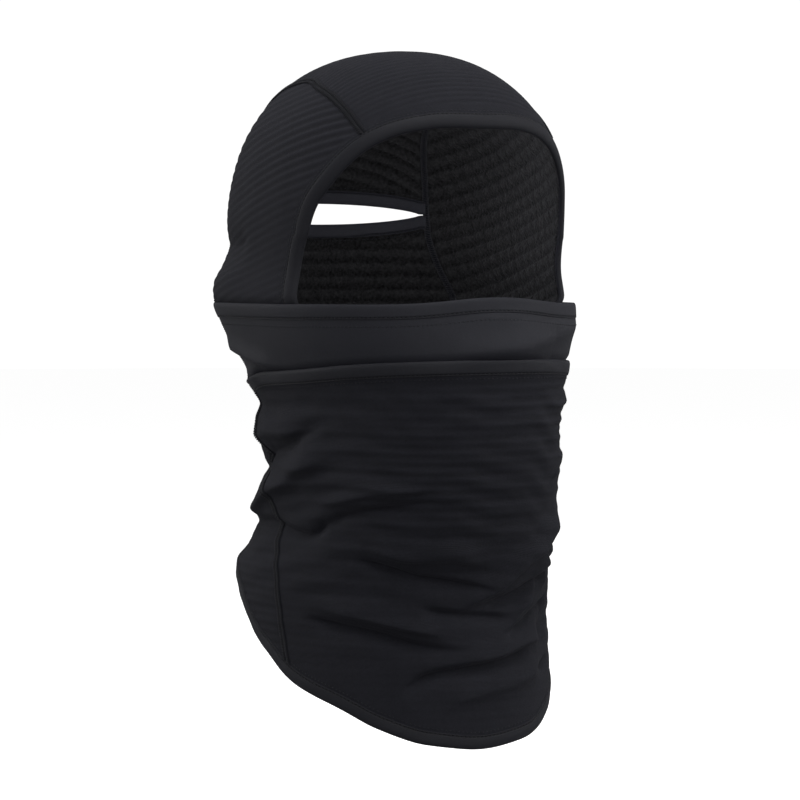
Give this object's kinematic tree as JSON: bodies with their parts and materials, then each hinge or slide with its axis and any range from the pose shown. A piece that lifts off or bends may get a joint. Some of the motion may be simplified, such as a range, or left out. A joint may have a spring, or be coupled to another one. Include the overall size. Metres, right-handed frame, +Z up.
{
  "type": "balaclava",
  "caption": "Dark stretch grid-fleece ski balaclava with a round face opening, a pull-down jersey mask, a ponytail slit at the back and a long neck gaiter.",
  "frame": {"origin": "middle of the head, level with the brow", "axes": "+Z up to the crown, -Y the way the face looks, +X the wearer's left"},
  "size_m": [0.1706, 0.2101, 0.3486],
  "materials": {
    "grid_fleece": "matt stretch grid fleece, shallow ribs outside and a waffle of small fleece blocks inside",
    "mask_jersey": "matt smooth stretch jersey",
    "binding_tape": "folded stretch jersey tape, smooth with a faint sheen",
    "sewing_thread": "black textured polyester thread, slightly glossy"
  },
  "bodies": {
    "root": {"crown_panel": "grid_fleece", "back_panel": "grid_fleece", "hood_side_right": "grid_fleece", "hood_side_left": "grid_fleece", "gaiter_panel": "grid_fleece", "mask_panel": "mask_jersey", "face_binding": "binding_tape", "face_stitching": "sewing_thread", "slit_upper_binding": "binding_tape", "slit_upper_stitching": "sewing_thread", "slit_lower_binding": "binding_tape", "slit_lower_stitching": "sewing_thread", "hem_binding": "binding_tape", "hem_stitching": "sewing_thread", "crown_seam_right": "sewing_thread", "crown_seam_left": "sewing_thread", "neck_seam_right": "sewing_thread", "neck_seam_left": "sewing_thread"},
    "mask_edge": {"mask_binding": "binding_tape", "mask_stitching": "sewing_thread"},
    "gaiter_edge": {"gaiter_binding": "binding_tape", "gaiter_stitching": "sewing_thread"}
  },
  "joints": [
    {"name": "mask_pull_down", "type": "slide", "parent": "root", "child": "mask_edge", "axis": [0, -0.3011, -0.9536], "range_m": [0, 0.055], "deforming": ["mask_panel", "mask_binding", "mask_stitching"]},
    {"name": "gaiter_pull_down", "type": "slide", "parent": "root", "child": "gaiter_edge", "axis": [0, -0.1498, -0.9887], "range_m": [0, 0.045], "deforming": ["gaiter_panel", "gaiter_binding", "gaiter_stitching"]}
  ]
}
